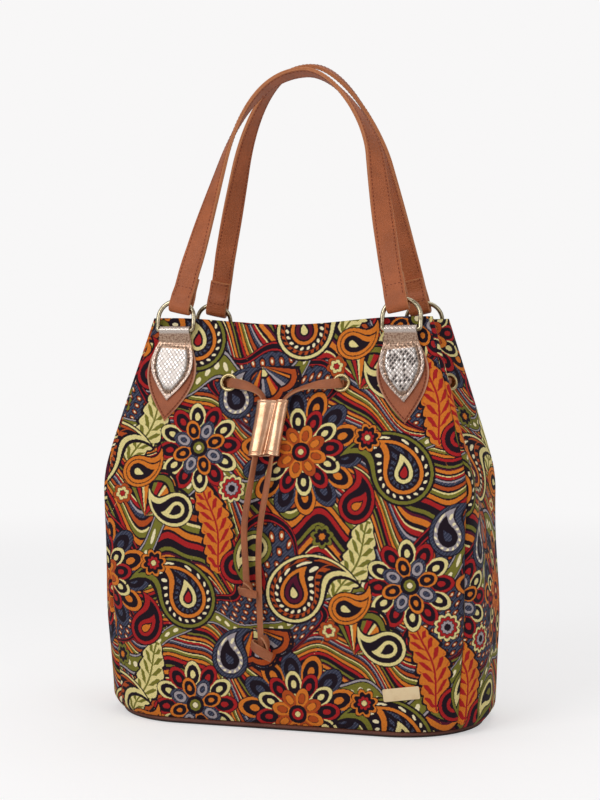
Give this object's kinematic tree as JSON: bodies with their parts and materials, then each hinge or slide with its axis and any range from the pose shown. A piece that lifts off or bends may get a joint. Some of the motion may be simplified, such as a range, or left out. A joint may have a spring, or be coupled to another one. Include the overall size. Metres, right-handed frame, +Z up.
{
  "type": "drawcord tote bag",
  "caption": "Woven cloth bucket tote with folded gussets, a drawcord laced through eyelets with a sliding lock, and leather straps on wire rings.",
  "frame": {"origin": "middle of the footprint, on the floor under the base", "axes": "+Z up, the front panel with the cord slider faces -Y, +X is to the right seen from the front"},
  "size_m": [0.3254, 0.1705, 0.5382],
  "materials": {
    "jacquard": "woven multicolour cloth, matt",
    "base_leather": "dark brown, matt",
    "brown_leather": "tan brown, soft sheen",
    "board": "stiffener",
    "lining": "plain sand cloth",
    "scaled_leather": "metallic with scale grain",
    "copper_leather": "metallic copper",
    "aged_brass": "antique, satin",
    "plate": "pale gold, satin"
  },
  "bodies": {
    "bag": {"front_panel": "jacquard", "back_panel": "jacquard", "left_gusset": "jacquard", "right_gusset": "jacquard", "base_panel": "base_leather", "base_piping": "brown_leather", "front_left_leaf": "brown_leather", "front_right_leaf": "brown_leather", "rear_left_leaf": "brown_leather", "rear_right_leaf": "brown_leather", "drawcord": "brown_leather", "left_cord_end": "brown_leather", "right_cord_end": "brown_leather", "left_knot": "brown_leather", "right_knot": "brown_leather", "base_board": "board", "lining": "lining", "front_left_tab": "scaled_leather", "front_right_tab": "scaled_leather", "rear_left_tab": "scaled_leather", "rear_right_tab": "scaled_leather", "front_eyelets": "aged_brass", "rear_eyelets": "aged_brass", "left_eyelets": "aged_brass", "right_eyelets": "aged_brass", "eyelet_washers": "aged_brass", "name_plate": "plate"},
    "front_handle": {"front_strap": "brown_leather", "front_left_ring": "aged_brass", "front_right_ring": "aged_brass"},
    "rear_handle": {"rear_strap": "brown_leather", "rear_left_ring": "aged_brass", "rear_right_ring": "aged_brass"},
    "slider": {"cord_slider": "copper_leather"}
  },
  "joints": [
    {"name": "front_handle_swing", "type": "hinge", "parent": "bag", "child": "front_handle", "pos_m": [0, -0.05042, 0.3195], "axis": [1, 0, 0], "range_deg": [0, 158]},
    {"name": "rear_handle_swing", "type": "hinge", "parent": "bag", "child": "rear_handle", "pos_m": [0, 0.05042, 0.3195], "axis": [-1, 0, 0], "range_deg": [0, 158]},
    {"name": "slider_slide", "type": "slide", "parent": "bag", "child": "slider", "axis": [0.1219, 0.1896, 0.9743], "range_m": [-0.05, 0]}
  ]
}
